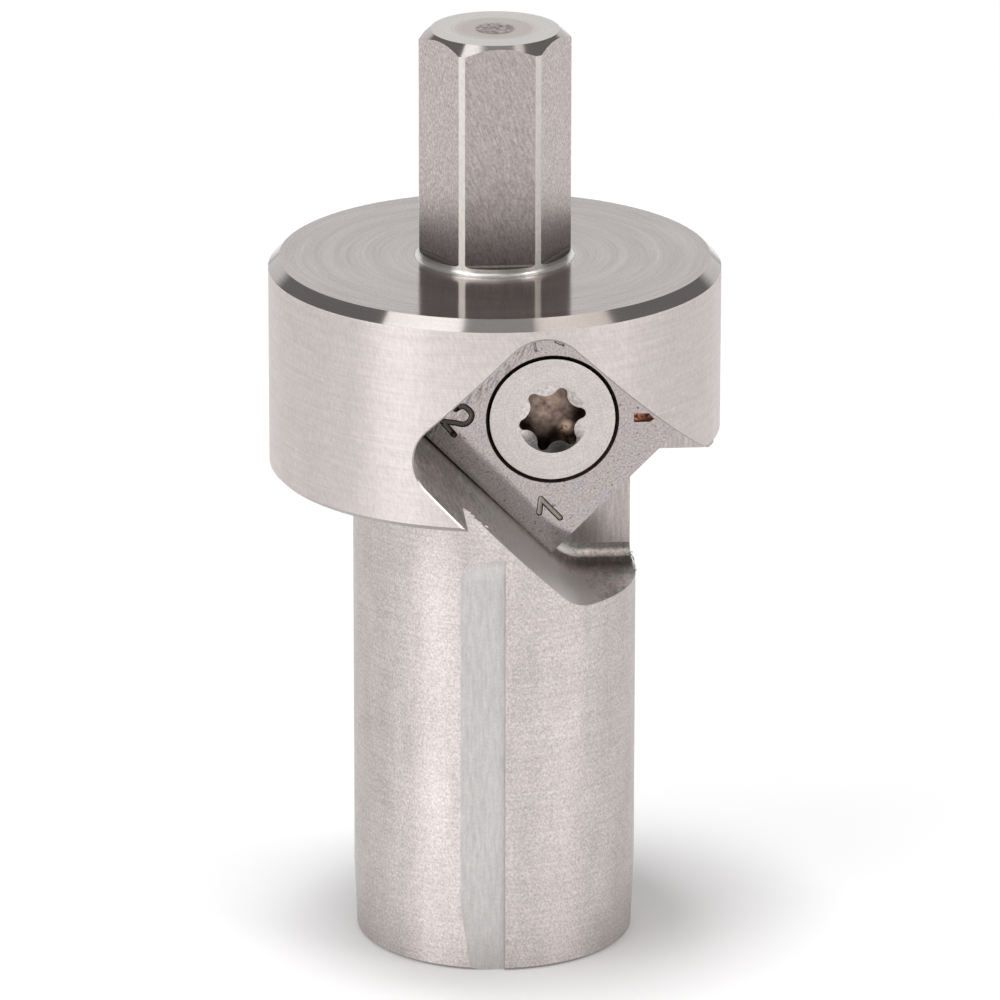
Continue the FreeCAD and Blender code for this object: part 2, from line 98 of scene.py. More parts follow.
# Marks on the knife's face. The numbers are milled with a ball-ended cutter, whose middle stays above
# the face, and their strokes are given along DOWN and OUT from the knife's centre.
STROKE_RADIUS = 0.25
STROKE_LIFT = 0.12
STROKE_STEP = 0.15
CUTTER_SIDES = 20
ONE = [[(4.25, -5.55), (3.59, -4.73)], [(3.59, -4.73), (5.58, -4.8)]]
TWO_ARCH = [
    (-5.49, -4.19),
    (-5.26, -3.67),
    (-4.69, -3.59),
    (-4.32, -3.75),
    (-4.16, -4.19),
    (-4.31, -4.62),
    (-4.82, -4.94),
    (-5.52, -5.48),
]
TWO_FOOT = [(-5.52, -5.48), (-4.23, -5.61)]
# Two scratches by X and Z, and the outline of the rusty mark.
SCRATCHES = [[(2.76, 43.6), (2.91, 42.8)], [(4.28, 43.47), (4.86, 43.21)]]
SCRATCH_RADIUS = 0.09
SCRATCH_LIFT = 0.04
RUST_OUTLINE = [(9.84, 38.05), (10.92, 38.03), (11.3, 37.64), (11.04, 37.41), (9.87, 37.4)]
RUST_LEFT = 9.7
RUST_BOTTOM = 37.0
RUST_DEPTH = 0.14
CUTTER_START = 0.3
# Marks lie between these depths, inside a border along the knife's sides, and their walls are steep.
FACE_LEVEL = 0.001
DEEPEST_MARK = 0.3
UNMARKED_BORDER = 0.25
STEEP = 0.75
# Nicks rubbed into the face start and are full this far inside the knife's upper left side.
NICKS_START = 2.8
NICKS_FULL = 2.0

# Screw
MOUTH_RADIUS = 2.51
MOUTH_DEPTH = 0.8
RECESS_RADIUS = 2.45
RECESS_DEPTH = 1.9
# Each spot: its middle, its reach and its strength there.
# The recess floor's spot is a painted pool of light, and the glint's spot a painted highlight.
RECESS_FLOOR_PAINTED_LIGHT = ((3.9, 1.9, 38.3), 2.4, 4.2)
PAINTED_GLINT_SPOT = ((5.25, 1.5, 36.5), 0.85, 0.0)
THREAD = {"Pitch": 0.8 * MM, "Turns": 9.0, "Radius": 2.3 * MM}
THREAD_START = 3.2
THREAD_RIDGE = 0.17

# Rows of torn steel on the pocket's rim: under the flange, and at the right end of its floor.
TORN_EDGES = [
    [Vector((-3.0, -9.54, 34.5)), Vector((-2.2, -9.76, 33.9)), Vector((-1.4, -9.9, 33.2))],
    [Vector((9.86, 1.6, 27.2)), Vector((9.93, 0.8, 26.66)), Vector((9.96, -0.6, 26.6))],
]
CRUMBS = {"Spacing": 0.07 * MM, "Size": 0.1 * MM}

# Camera, as the outlines in the photograph place it: metres and degrees.
CAMERA_PLACE = (-0.04664, -0.59125, 0.23197)
CAMERA_TURN = -4.548
CAMERA_DROP = 18.645
CAMERA_ROLL = 0.079
CAMERA_LENS = 318.94
CAMERA_SENSOR = 36.0

# Studio: strengths of its walls and floor, the lamps' distance and aim in metres, and how far its front
# is turned towards the camera.
ROOM_STRENGTH = 0.21
CEILING_STRENGTH = 0.42
WALL_STRENGTH = 0.8
FLOOR_GLOW = 0.13
LAMP_DISTANCE = 1.4
LAMP_AIM = (0.0, 0.0, 0.04)
STUDIO_TURN = math.radians(4.6)


def linear(code):
    """The linear colour of an sRGB hex value."""
    parts = [int(code[place : place + 2], 16) / 255 for place in (0, 2, 4)]
    return (*[p / 12.92 if p <= 0.04045 else ((p + 0.055) / 1.055) ** 2.4 for p in parts], 1.0)


def add(tree, kind, inputs=(), **settings):
    """Adds a node with its settings. An input that is a socket is linked, any other is its value."""
    made = tree.nodes.new(kind)
    for name, value in settings.items():
        setattr(made, name, value)
    for key, value in dict(inputs).items():
        if isinstance(value, bpy.types.NodeSocket):
            tree.links.new(value, made.inputs[key])
        else:
            made.inputs[key].default_value = value
    return made


def metal(name, colour, roughness, anisotropy=0.0):
    """A bare metal with its place on the piece: the material, its tree, shader and coordinates."""
    material = bpy.data.materials.new(name)
    material.use_nodes = True
    tree = material.node_tree
    tree.nodes.clear()
    shader = add(
        tree,
        "ShaderNodeBsdfPrincipled",
        {"Base Color": linear(colour), "Metallic": 1.0, "Roughness": roughness, "Anisotropic": anisotropy},
    )
    add(tree, "ShaderNodeOutputMaterial", {"Surface": shader.outputs[0]})
    place = add(tree, "ShaderNodeTexCoord").outputs["Object"]
    return material, tree, shader, place


# Patterns. Grit and feed marks on such steel are 0.02 to 0.06 mm apart, too fine to show in the
# picture, so the finest grains and rings are drawn 0.09 to 0.3 mm wide.
def grains(tree, place, cell, turn=NO_TURN, detail=2.0):
    """A noise between 0 and 1 whose grains have the given size in millimetres along three axes."""
    turned = add(tree, "ShaderNodeMapping", {"Vector": place, "Rotation": turn}).outputs[0]
    scale = [1 / (size * MM) for size in cell]
    stretched = add(tree, "ShaderNodeMapping", {"Vector": turned, "Scale": scale}).outputs[0]
    return add(tree, "ShaderNodeTexNoise", {"Vector": stretched, "Scale": 1.0, "Detail": detail}).outputs[0]


def rings(tree, place, width_mm, wander_mm, centre=(0.0, 0.0, 0.0), turn=NO_TURN):
    """A noise in rings round a turned Z axis through a centre, and the flat way out from that axis."""
    shift = [-part * MM for part in centre]
    middle = add(tree, "ShaderNodeMapping", {"Vector": place, "Location": shift}).outputs[0]
    turned = add(tree, "ShaderNodeMapping", {"Vector": middle, "Rotation": turn}).outputs[0]
    split = add(tree, "ShaderNodeSeparateXYZ", {0: turned})
    flat = add(tree, "ShaderNodeCombineXYZ", {0: split.outputs[0], 1: split.outputs[1]}).outputs[0]
    radius = add(tree, "ShaderNodeVectorMath", {0: flat}, operation="LENGTH").outputs["Value"]
    across = add(tree, "ShaderNodeMath", {0: radius, 1: 1 / (width_mm * MM)}, operation="MULTIPLY")
    slow = add(tree, "ShaderNodeVectorMath", {0: flat, 3: 1 / (wander_mm * MM)}, operation="SCALE")
    along = add(tree, "ShaderNodeSeparateXYZ", {0: slow.outputs[0]})
    track = add(
        tree,
        "ShaderNodeCombineXYZ",
        {0: across.outputs[0], 1: along.outputs[0], 2: along.outputs[1]},
    )
    made = add(
        tree,
        "ShaderNodeTexNoise",
        {"Vector": track.outputs[0], "Scale": 1.0, "Detail": 3.0, "Roughness": 0.6},
    )
    return made.outputs[0], flat


def spot(tree, place, centre, reach_mm, strength):
    """A factor that goes smoothly from the given strength at a point to one at its reach."""
    point = [part * MM for part in centre]
    away = add(tree, "ShaderNodeVectorMath", {0: place, 1: point}, operation="DISTANCE").outputs["Value"]
    return add(
        tree,
        "ShaderNodeMapRange",
        {"Value": away, "From Min": 0.0, "From Max": reach_mm * MM, "To Min": strength, "To Max": 1.0},
        interpolation_type="SMOOTHSTEP",
    ).outputs[0]


def fade(tree, place, axis, start_mm, end_mm, start, end):
    """A factor that changes smoothly from one value to another between two places on an axis."""
    along = add(tree, "ShaderNodeSeparateXYZ", {0: place}).outputs[axis]
    return add(
        tree,
        "ShaderNodeMapRange",
        {
            "Value": along,
            "From Min": start_mm * MM,
            "From Max": end_mm * MM,
            "To Min": start,
            "To Max": end,
        },
        interpolation_type="SMOOTHSTEP",
    ).outputs[0]


def shaded(tree, shader, colour, shades, fades=()):
    """Gives the shader its colour, swung by each noise and its share and times each fade. Returns it."""
    factor = 1.0
    for change in fades:
        factor = add(tree, "ShaderNodeMath", {0: factor, 1: change}, operation="MULTIPLY").outputs[0]
    for shade, share in shades:
        swing = add(
            tree,
            "ShaderNodeMapRange",
            {"Value": shade, "From Min": 0.3, "From Max": 0.7, "To Min": 1 - share, "To Max": 1 + share},
            clamp=False,
        ).outputs[0]
        factor = add(tree, "ShaderNodeMath", {0: factor, 1: swing}, operation="MULTIPLY").outputs[0]
    tint = add(tree, "ShaderNodeVectorMath", {0: linear(colour)[:3], 3: factor}, operation="SCALE")
    tree.links.new(tint.outputs[0], shader.inputs["Base Color"])
    return tint.outputs[0]


def tinted(tree, colour, tint, share):
    """A colour that is multiplied by a tint where the share is one."""
    other = add(tree, "ShaderNodeVectorMath", {0: colour, 1: linear(tint)[:3]}, operation="MULTIPLY")
    return add(
        tree,
        "ShaderNodeMix",
        {"Factor": share, "A": colour, "B": other.outputs[0]},
        data_type="VECTOR",
    ).outputs[1]


def relief(tree, shader, heights):
    """Bumps the surface by each noise and its depth in millimetres."""
    normal = None
    for height, depth_mm in heights:
        inputs = {"Height": height, "Strength": 1.0, "Distance": depth_mm * MM}
        if normal:
            inputs["Normal"] = normal
        normal = add(tree, "ShaderNodeBump", inputs).outputs[0]
    tree.links.new(normal, shader.inputs["Normal"])


# Finishes of the body
def faced_steel(name, colour, roughness, share, depth_mm):
    """Steel faced on a lathe. Its rings draw every reflection out towards and away from the axis."""
    material, tree, shader, place = metal(name, colour, roughness, 0.85)
    fine, outward = rings(tree, place, 0.14, 7)
    broad, _ = rings(tree, place, 1.1, 12)
    speckle = grains(tree, place, (0.2, 0.2, 0.2))
    shaded(tree, shader, colour, [(fine, share), (broad, share), (speckle, share)])
    relief(tree, shader, [(fine, depth_mm), (broad, depth_mm * 3)])
    tree.links.new(outward, shader.inputs["Tangent"])
    return material


def turned_steel(name, colour, roughness, cell, share, level_share, depth_mm, outline_painted_shade):
    """Steel turned round the axis. Reflections blur up and down it under a slanting speckle and faint
    level lines, and a painted shade darkens its colour towards its outline."""
    material, tree, shader, place = metal(name, colour, roughness, 0.85)
    speckle = grains(tree, place, cell, SLANT)
    blotch = grains(tree, place, (1.6, 1.6, 5.0))
    level = grains(tree, place, (4.0, 4.0, 0.16))
    # Painted shade: the colour darkens as the surface turns away from the camera, towards the outline.
    facing = add(tree, "ShaderNodeLayerWeight", {"Blend": 0.5}).outputs["Facing"]
    outline_shade = add(
        tree,
        "ShaderNodeMapRange",
        {"Value": facing, "From Min": 0.15, "From Max": 1.0, "To Min": 1.0, "To Max": 1.0 - outline_painted_shade},
    ).outputs[0]
    shades = [(speckle, share), (blotch, share * 0.3), (level, level_share)]
    shaded(tree, shader, colour, shades, [outline_shade])
    relief(tree, shader, [(speckle, depth_mm), (level, depth_mm)])
    upright = add(tree, "ShaderNodeCombineXYZ", {2: 1.0}).outputs[0]
    tree.links.new(upright, shader.inputs["Tangent"])
    return material


def cut_metal(name, colour, roughness, cell, share, depth_mm, turn=NO_TURN, fades=(), spots=()):
    """Metal milled, ground or torn. Streaks along the cut and a finer speckle make it softly satin."""
    material, tree, shader, place = metal(name, colour, roughness)
    streak = grains(tree, place, cell, turn, 3.0)
    speckle = grains(tree, place, (0.18, 0.18, 0.18))
    changes = [fade(tree, place, *change) for change in fades]
    changes += [spot(tree, place, *change) for change in spots]
    shaded(tree, shader, colour, [(streak, share), (speckle, share * 0.7)], changes)
    relief(tree, shader, [(streak, depth_mm), (speckle, depth_mm * 0.5)])
    return material


def shank_end_steel(name, colour, inner_tint, roughness):
    """Faced steel whose inner disc was cut last. It shows as a pinker disc inside a paler rim."""
    material, tree, shader, place = metal(name, colour, roughness)
    fine, outward = rings(tree, place, 0.16, 5)
    speckle = grains(tree, place, (0.16, 0.16, 0.16), detail=4.0)
    radius = add(tree, "ShaderNodeVectorMath", {0: outward}, operation="LENGTH").outputs["Value"]
    inner = add(
        tree,
        "ShaderNodeMapRange",
        {"Value": radius, "From Min": END_DISC_GONE * MM, "From Max": END_DISC_FULL * MM},
        interpolation_type="SMOOTHSTEP",
    ).outputs[0]
    paler = shaded(tree, shader, colour, [(fine, 0.05), (speckle, 0.1)])
    tree.links.new(tinted(tree, paler, inner_tint, inner), shader.inputs["Base Color"])
    relief(tree, shader, [(fine, 0.001), (speckle, 0.002)])
    return material


def pocket_steel(name, colour, cloud_tint, roughness, fades):
    """Steel left by the slanting cutter. Smears, flecks and blue-grey clouds make it dull and uneven."""
    material, tree, shader, place = metal(name, colour, roughness)
    smear = grains(tree, place, (0.3, 1.4, 0.3), detail=4.0)
    speckle = grains(tree, place, (0.17, 0.17, 0.17), detail=4.0)
    clouds = grains(tree, place, (2.2, 2.2, 2.2))
    changes = [fade(tree, place, *change) for change in fades]
    plain = shaded(tree, shader, colour, [(smear, 0.2), (speckle, 0.24)], changes)
    cloudy = add(tree, "ShaderNodeMapRange", {"Value": clouds, "From Min": 0.42, "From Max": 0.6}).outputs[0]
    tree.links.new(tinted(tree, plain, cloud_tint, cloudy), shader.inputs["Base Color"])
    relief(tree, shader, [(smear, 0.006), (speckle, 0.006)])
    return material


# Fades go along X (0), Y (1) or Z (2) between two places, from one strength to another.
# The pocket is painted paler towards its floor and darker towards its right end and its depth, as painted
# light and shade; a painted highlight along the seat's foot is a pale strip across it, darker again at the
# seat.
POCKET_PAINTED_LIGHT_AND_SHADE = [
    (2, 36.0, 29.5, 1.0, 1.85),
    (0, 5.5, 8.0, 1.0, 0.6),
    (1, -3.0, 1.2, 1.0, 0.3),
    (1, 1.5, 1.68, 1.0, 2.8),
    (1, 1.85, 1.98, 1.0, 0.42),
]
# The flat in front is dull at its foot.
FRONT_FLAT_FADES = [(2, 59.0, 51.0, 1.0, 0.62)]
# The seat has a painted shadow under the knife's lower corner.
SEAT_PAINTED_SHADOW = [((6.4, 2.0, 28.7), 2.6, 0.5)]

FINISHES = {
    # Faced top and underside: silky, with fans of light between the rings.
    "face": faced_steel("Steel_faced_on_the_lathe", "c1bab8", 0.13, share=0.1, depth_mm=0.0018),
    # Shank's end, faced with a blunter tool: soft and greyish.
    "end": shank_end_steel("Steel_shank_end_faced", "ece8e5", "eae2e0", 0.3),
    # Chamfers, cut with a fresh tool: nearly mirrors, so they turn from white to dark at once.
    "chamfer": faced_steel("Steel_chamfer_fine_turned", "c2bcba", 0.1, share=0.03, depth_mm=0.0002),
    # Fillet at the shank's foot: painted near white, a painted highlight that makes a bright ring.
    "foot": faced_steel("Steel_shank_foot_painted_highlight", "f4f2f0", 0.3, share=0.04, depth_mm=0.0004),
    # Ledge under the flats, left rough by the cutter's end: painted dark, a painted shade under the flats.
    "ledge": cut_metal("Steel_shank_ledge_painted_shade", "8a8582", 0.45, (0.16, 0.16, 0.16), 0.15, 0.002),
    # Flange's side, fine-turned: pale, with one broad soft band of light, and a painted shade that darkens it
    # slightly towards its outline.
    "side": turned_steel(
        "Steel_fine_turned_painted_outline_shade",
        "ece3e0",
        0.45,
        cell=(0.15, 0.15, 0.5),
        share=0.07,
        level_share=0.05,
        depth_mm=0.0006,
        outline_painted_shade=0.14,
    ),
    # Shank's corners, left as turned between the flats: narrow pale bands.
    "corner": turned_steel(
        "Steel_corner_as_turned",
        "e2deda",
        0.4,
        cell=(0.16, 0.16, 0.5),
        share=0.06,
        level_share=0.02,
        depth_mm=0.001,
        outline_painted_shade=0.0,
    ),
    # Pilot, ground to size: a coarser sparkle, and a painted shade that darkens its sides.
    "pilot": turned_steel(
        "Steel_pilot_ground_painted_outline_shade",
        "e9e0dd",
        0.44,
        cell=(0.14, 0.14, 0.17),
        share=0.2,
        level_share=0.06,
        depth_mm=0.002,
        outline_painted_shade=0.36,
    ),
    # Flats, ground on a slant: a fine slanting grain.
    "flat": cut_metal(
        "Steel_flats_ground",
        "bfb5b3",
        0.36,
        cell=(0.09, 0.09, 0.5),
        share=0.26,
        depth_mm=0.002,
        turn=SLANT,
    ),
    # Flat in front, ground the same way: duller towards its foot.
    "front_flat": cut_metal(
        "Steel_front_flat",
        "b8aeac",
        0.36,
        cell=(0.09, 0.09, 0.5),
        share=0.2,
        depth_mm=0.002,
        turn=SLANT,
        fades=FRONT_FLAT_FADES,
    ),
    # Flute, ground along the pilot: smooth, cool and evenly lit.
    "flute": cut_metal("Steel_flute_ground", "cfcccb", 0.42, (0.16, 0.16, 1.2), 0.09, 0.0006),
    # Knife's seat, milled upright: upright streaks, and a painted shadow at its foot under the knife's lower
    # corner.
    "seat": cut_metal(
        "Steel_seat_milled_painted_shadow",
        "cfc6c3",
        0.5,
        cell=(0.14, 0.14, 1.5),
        share=0.14,
        depth_mm=0.003,
        spots=SEAT_PAINTED_SHADOW,
    ),
    # Pocket, milled on a slant: dull and clouded, with painted light and shade over it.
    "pocket": pocket_steel("Steel_pocket_milled_painted_light_and_shade", "e6dcd8", "e4efec", 0.45, POCKET_PAINTED_LIGHT_AND_SHADE),
    # Break on the pocket's lower rim: painted near white, a painted highlight that makes a white line.
    "edge": cut_metal("Steel_edge_painted_highlight", "f2eeec", 0.35, (0.2, 0.2, 0.2), 0.04, 0.001),
    # Other edges: painted grey, a painted shade that makes a thin grey line.
    "edge_painted_shade": cut_metal("Steel_edge_painted_shade", "b4acaa", 0.45, (0.2, 0.2, 0.2), 0.1, 0.001),
}


def cut_that_made(corners, normal):
    """The finish of a face of the body, told by where its corners lie and which way it looks."""
    radii = [math.hypot(x, y) for x, y, _ in corners]
    heights = [z for _, _, z in corners]
    low, high = min(heights), max(heights)
    middle = sum(corners, Vector()) / len(corners)
    outward = sum(n * c for n, c in zip(normal.xy, corners[0].xy)) / max(radii[0], NEAR)
    if low > SHANK_END - SHANK_CHAMFER - NEAR and normal.z > LEANING:
        return "end" if normal.z > FACING else "chamfer"
    if low > FLANGE_TOP + COLLAR_FILLET - NEAR and max(radii) < SHANK_RADIUS + NEAR:
        on_flat = all(abs(corner.dot(normal) - FLAT_DISTANCE) < NEAR for corner in corners)
        if on_flat and abs(normal.z) < 1 - POINTING:
            return "front_flat" if normal.y < -FACING else "flat"
        as_turned = high > SHANK_END - SHANK_CHAMFER - NEAR or outward > POINTING
        return "corner" if as_turned else "ledge"
    if low > FLANGE_TOP - NEAR:
        return "face" if high < FLANGE_TOP + NEAR else "foot"
    on_chamfer = min(radii) > FLANGE_RADIUS - FLANGE_CHAMFER - NEAR
    if on_chamfer and low > FLANGE_TOP - FLANGE_CHAMFER - NEAR and normal.z > LEANING:
        return "chamfer"
    if all(abs(radius - FLANGE_RADIUS) < NEAR for radius in radii) and outward > POINTING:
        return "side"
    # The flange's lower rim break and the pocket rim's other stretches take the edge with painted shade.
    under = FLANGE_BOTTOM - NECK_FILLET - NEAR < low and high < FLANGE_BOTTOM + RIM_BREAK + NEAR
    if under and normal.z < -LEANING:
        return "edge_painted_shade" if min(radii) > FLANGE_RADIUS - RIM_BREAK - NEAR else "face"
    if min(radii) > FLANGE_RADIUS - POCKET_RIM_REACH:
        # The pocket rim's lower stretch takes the edge with a painted highlight.
        on_painted_highlight = middle.x < PAINTED_HIGHLIGHT_RIGHT and high < PAINTED_HIGHLIGHT_TOP and normal.z > 0.1
        return "edge" if on_painted_highlight else "edge_painted_shade"
    if all(abs(y + FLUTE_DISTANCE) < NEAR for _, y, _ in corners) and high < FLUTE_FLAT_TOP:
        return "flute"
    on_pilot = all(abs(radius - PILOT_RADIUS) < NEAR for radius in radii)
    if (on_pilot or high < LEAD_IN_LENGTH + NEAR) and outward > POINTING:
        return "pilot"
    if high < FOOT_BREAK + NEAR and normal.z < -LEANING:
        return "face"
    if middle.y < -FLUTE_SHALLOWEST and high < FLUTE_TOP:
        return "flute"
    if all(abs(y - SEAT) < NEAR for _, y, _ in corners):
        return "seat"
    return "pocket"


def placed(name, mesh, replaces=None):
    """Stands a mesh in the scene as a piece of the tool."""
    piece = bpy.data.objects.new(name, mesh)
    bpy.context.scene.collection.objects.link(piece)
    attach(piece, "root")
    if replaces:
        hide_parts(replaces)


def merged_copy(node, name):
    """A copy of a CAD node with its doubles merged and its smooth normals kept."""
    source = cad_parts[node].data
    normals = [corner.vector.copy() for corner in source.corner_normals]
    work = bmesh.new()
    work.from_mesh(source)
    kept = work.loops.layers.float_vector.new("kept_normal")
    for face in work.faces:
        face.smooth = True
        for corner in face.loops:
            corner[kept] = normals[corner.index]
    bmesh.ops.remove_doubles(work, verts=work.verts, dist=0.0002 * MM)
    mesh = bpy.data.meshes.new(name)
    work.to_mesh(mesh)
    work.free()
    mesh.normals_split_custom_set([item.vector.copy() for item in mesh.attributes["kept_normal"].data])
    mesh.attributes.remove(mesh.attributes["kept_normal"])
    return mesh


def finish(mesh, finish_of, finishes):
    """Gives each face of a mesh the finish that its place and direction tell."""
    mesh.materials.clear()
    for material in finishes.values():
        mesh.materials.append(material)
    names = list(finishes)
    for face in mesh.polygons:
        corners = [mesh.vertices[index].co / MM for index in face.vertices]
        face.material_index = names.index(finish_of(corners, face.normal))


body_mesh = merged_copy("tool_body", "turned_body")
finish(body_mesh, cut_that_made, FINISHES)
placed("turned_body", body_mesh, "tool_body")


# Shank end: a rough pip that the facing tool left in the middle.
def end_pip():
    """A low mound of torn steel, closed below, whose foot lies under the shank's end."""
    work = bmesh.new()
    rows = []
    for ring in range(PIP_RINGS):
        reach = PIP_RADIUS * (1 - ring / PIP_RINGS)
        foot = SHANK_END - PIP_SINK if ring == 0 else SHANK_END
        rise = PIP_HEIGHT * min(1, ring / 2)
        row = []
        for step in range(PIP_STEPS):
            turn = 2 * math.pi * step / PIP_STEPS
            x, y = reach * math.cos(turn), reach * math.sin(turn)
            # A broad noise and a finer one, whose waves are about 0.3 and 0.1 mm long.
            torn =noise.noise(Vector((x, y, 0.0)) * 3.5) + 0.6 * noise.noise(Vector((x, y, 4.0)) * 9)
            z = foot + rise * (0.45 + 0.7 * torn)
            row.append(work.verts.new((x * MM, y * MM, z * MM)))
        rows.append(row)
    for outer, inner in zip(rows, rows[1:]):
        for step in range(PIP_STEPS):
            after = (step + 1) % PIP_STEPS
            work.faces.new((outer[step], outer[after], inner[after], inner[step]))
    work.faces.new(rows[-1])
    work.faces.new(rows[0][::-1])
    mesh = bpy.data.meshes.new("end_pip")
    work.to_mesh(mesh)
    work.free()
    # Torn steel: coarse and matt.
    mesh.materials.append(cut_metal("Steel_pip_torn", "ded4d2", 0.45, (0.3, 0.3, 0.3), 0.25, 0.004))
    return mesh


placed("end_pip", end_pip())


# Geometry Nodes: trees that make what follows a path, and the plain meshes that they leave.
def lines_mesh(name, paths):
    """A mesh of open lines through the given points, in millimetres."""
    mesh = bpy.data.meshes.new(name)
    points = [point * MM for line in paths for point in line]
    edges = []
    start = 0
    for line in paths:
        edges += [(start + step, start + step + 1) for step in range(len(line) - 1)]
        start += len(line)
    mesh.from_pydata(points, edges, [])
    return mesh


def new_tree(name, inputs):
    """A Geometry Nodes tree with a geometry in and out and the given number inputs."""
    tree = bpy.data.node_groups.new(name, "GeometryNodeTree")
    tree.interface.new_socket("Geometry", in_out="INPUT", socket_type="NodeSocketGeometry")
    tree.interface.new_socket("Geometry", in_out="OUTPUT", socket_type="NodeSocketGeometry")
    for label, value in inputs.items():
        socket = tree.interface.new_socket(label, in_out="INPUT", socket_type="NodeSocketFloat")
        socket.default_value = value
    source = tree.nodes.new("NodeGroupInput")
    return tree, source


def evaluated_mesh(item):
    """The mesh of an object as its modifiers leave it."""
    bpy.context.view_layer.update()
    graph = bpy.context.evaluated_depsgraph_get()
    return bpy.data.meshes.new_from_object(item.evaluated_get(graph), depsgraph=graph)


def shaped_by(tree, mesh, values, name):
    """Runs a tree over a mesh with its inputs set, and gives back the plain mesh."""
    holder = bpy.data.objects.new(name, mesh)
    bpy.context.scene.collection.objects.link(holder)
    modifier = holder.modifiers.new(name, "NODES")
    modifier.node_group = tree
    for item in tree.interface.items_tree:
        if item.name in values and item.in_out == "INPUT":
            modifier[item.identifier] = values[item.name]
    shaped = evaluated_mesh(holder)
    bpy.data.objects.remove(holder)
    shaped.name = name
    return shaped


# Knife: ground carbide, with numbers cut into its face and a rusty mark.
def on_knife(down, out):
    """A point of the knife's face, by millimetres along DOWN and OUT from its centre."""
    return KNIFE_CENTRE + DOWN * down + OUT * out


def stroke_cutter(path, radius, name):
    """A ball-ended cutter's way along a path: a round bar with a ball at both ends."""
    sizes = {"Radius": radius * MM}
    tree, source = new_tree("Ball_cutter_" + name, sizes)
    curve = add(tree, "GeometryNodeMeshToCurve", {"Mesh": source.outputs[0]})
    smooth = add(
        tree,
        "GeometryNodeCurveSplineType",
        {"Curve": curve.outputs[0]},
        spline_type="CATMULL_ROM",
    )
    even = add(
        tree,
        "GeometryNodeResampleCurve",
        {"Curve": smooth.outputs[0], "Length": STROKE_STEP * MM},
        mode="LENGTH",
    )
    ring = add(
        tree,
        "GeometryNodeCurvePrimitiveCircle",
        {"Resolution": CUTTER_SIDES, "Radius": source.outputs["Radius"]},
    )
    bar = add(
        tree,
        "GeometryNodeCurveToMesh",
        {"Curve": even.outputs[0], "Profile Curve": ring.outputs[0], "Fill Caps": True},
    )
    ends = add(tree, "GeometryNodeCurveEndpointSelection", {"Start Size": 1, "End Size": 1})
    ball = add(
        tree,
        "GeometryNodeMeshUVSphere",
        {"Segments": CUTTER_SIDES, "Rings": CUTTER_SIDES // 2, "Radius": source.outputs["Radius"]},
    )
    turned = add(
        tree,
        "GeometryNodeTransform",
        {"Geometry": ball.outputs[0], "Rotation": (math.pi / 2, 0, 0)},
    )
    balls = add(
        tree,
        "GeometryNodeInstanceOnPoints",
        {"Points": even.outputs[0], "Selection": ends.outputs[0], "Instance": turned.outputs[0]},
    )
    real = add(tree, "GeometryNodeRealizeInstances", {"Geometry": balls.outputs[0]})
    both = tree.nodes.new("GeometryNodeJoinGeometry")
    tree.links.new(bar.outputs[0], both.inputs[0])
    tree.links.new(real.outputs[0], both.inputs[0])
    add(tree, "NodeGroupOutput", {0: both.outputs[0]})
    return shaped_by(tree, lines_mesh(name, [path]), sizes, name)


def rust_cutter():
    """A flat-bottomed cutter with the outline of the rusty mark."""
    work = bmesh.new()
    near = [work.verts.new((x * MM, -CUTTER_START * MM, z * MM)) for x, z in RUST_OUTLINE]
    far = [work.verts.new((x * MM, RUST_DEPTH * MM, z * MM)) for x, z in RUST_OUTLINE]
    work.faces.new(near)
    work.faces.new(far)
    for place, corner in enumerate(near):
        after = (place + 1) % len(near)
        work.faces.new((corner, near[after], far[after], far[place]))
    bmesh.ops.recalc_face_normals(work, faces=work.faces)
    mesh = bpy.data.meshes.new("rusty_mark")
    work.to_mesh(mesh)
    work.free()
    return mesh


def carved(mesh, cutters):
    """The mesh with the cutters' shapes taken out of it."""
    item = bpy.data.objects.new("carving", mesh)
    bpy.context.scene.collection.objects.link(item)
    tools = []
    for cutter in cutters:
        tool = bpy.data.objects.new("carving_tool", cutter)
        bpy.context.scene.collection.objects.link(tool)
        modifier = item.modifiers.new("cut", "BOOLEAN")
        modifier.operation = "DIFFERENCE"
        modifier.solver = "EXACT"
        modifier.use_self = True
        modifier.object = tool
        tools.append(tool)
    result = evaluated_mesh(item)
    for tool in [*tools, item]:
        bpy.data.objects.remove(tool)
    return result


def sharp_edged(mesh):
    """Sets a mesh smooth across shallow angles only."""
    if "custom_normal" in mesh.attributes:
        mesh.attributes.remove(mesh.attributes["custom_normal"])
    for face in mesh.polygons:
        face.use_smooth = True
    mesh.set_sharp_from_angle(angle=math.radians(20))


def knife_mesh():
    """The CAD knife, settled in its pocket, with its numbers, scratches and rusty mark cut."""
    cutters = []
    for count, stroke in enumerate([*ONE, TWO_ARCH, TWO_FOOT]):
        path = [on_knife(*point) - Vector((0.0, STROKE_LIFT, 0.0)) for point in stroke]
        cutters.append(stroke_cutter(path, STROKE_RADIUS, f"number_stroke_{count}"))
    for count, scratch in enumerate(SCRATCHES):
        path = [Vector((x, -SCRATCH_LIFT, z)) for x, z in scratch]
        cutters.append(stroke_cutter(path, SCRATCH_RADIUS, f"scratch_{count}"))
    cutters.append(rust_cutter())
    blank = merged_copy("cutting_insert", "knife_blank")
    for corner in blank.vertices:
        from_centre = corner.co / MM - KNIFE_CENTRE
        if from_centre.dot(OUT) < 0.1 - KNIFE_HALF:
            share = from_centre.dot(DOWN) / KNIFE_HALF
            corner.co -= OUT * (LOWER_SIDE_SETTLED + share * LOWER_SIDE_TURNED) * MM
    mesh = carved(blank, cutters)
    sharp_edged(mesh)
    return mesh


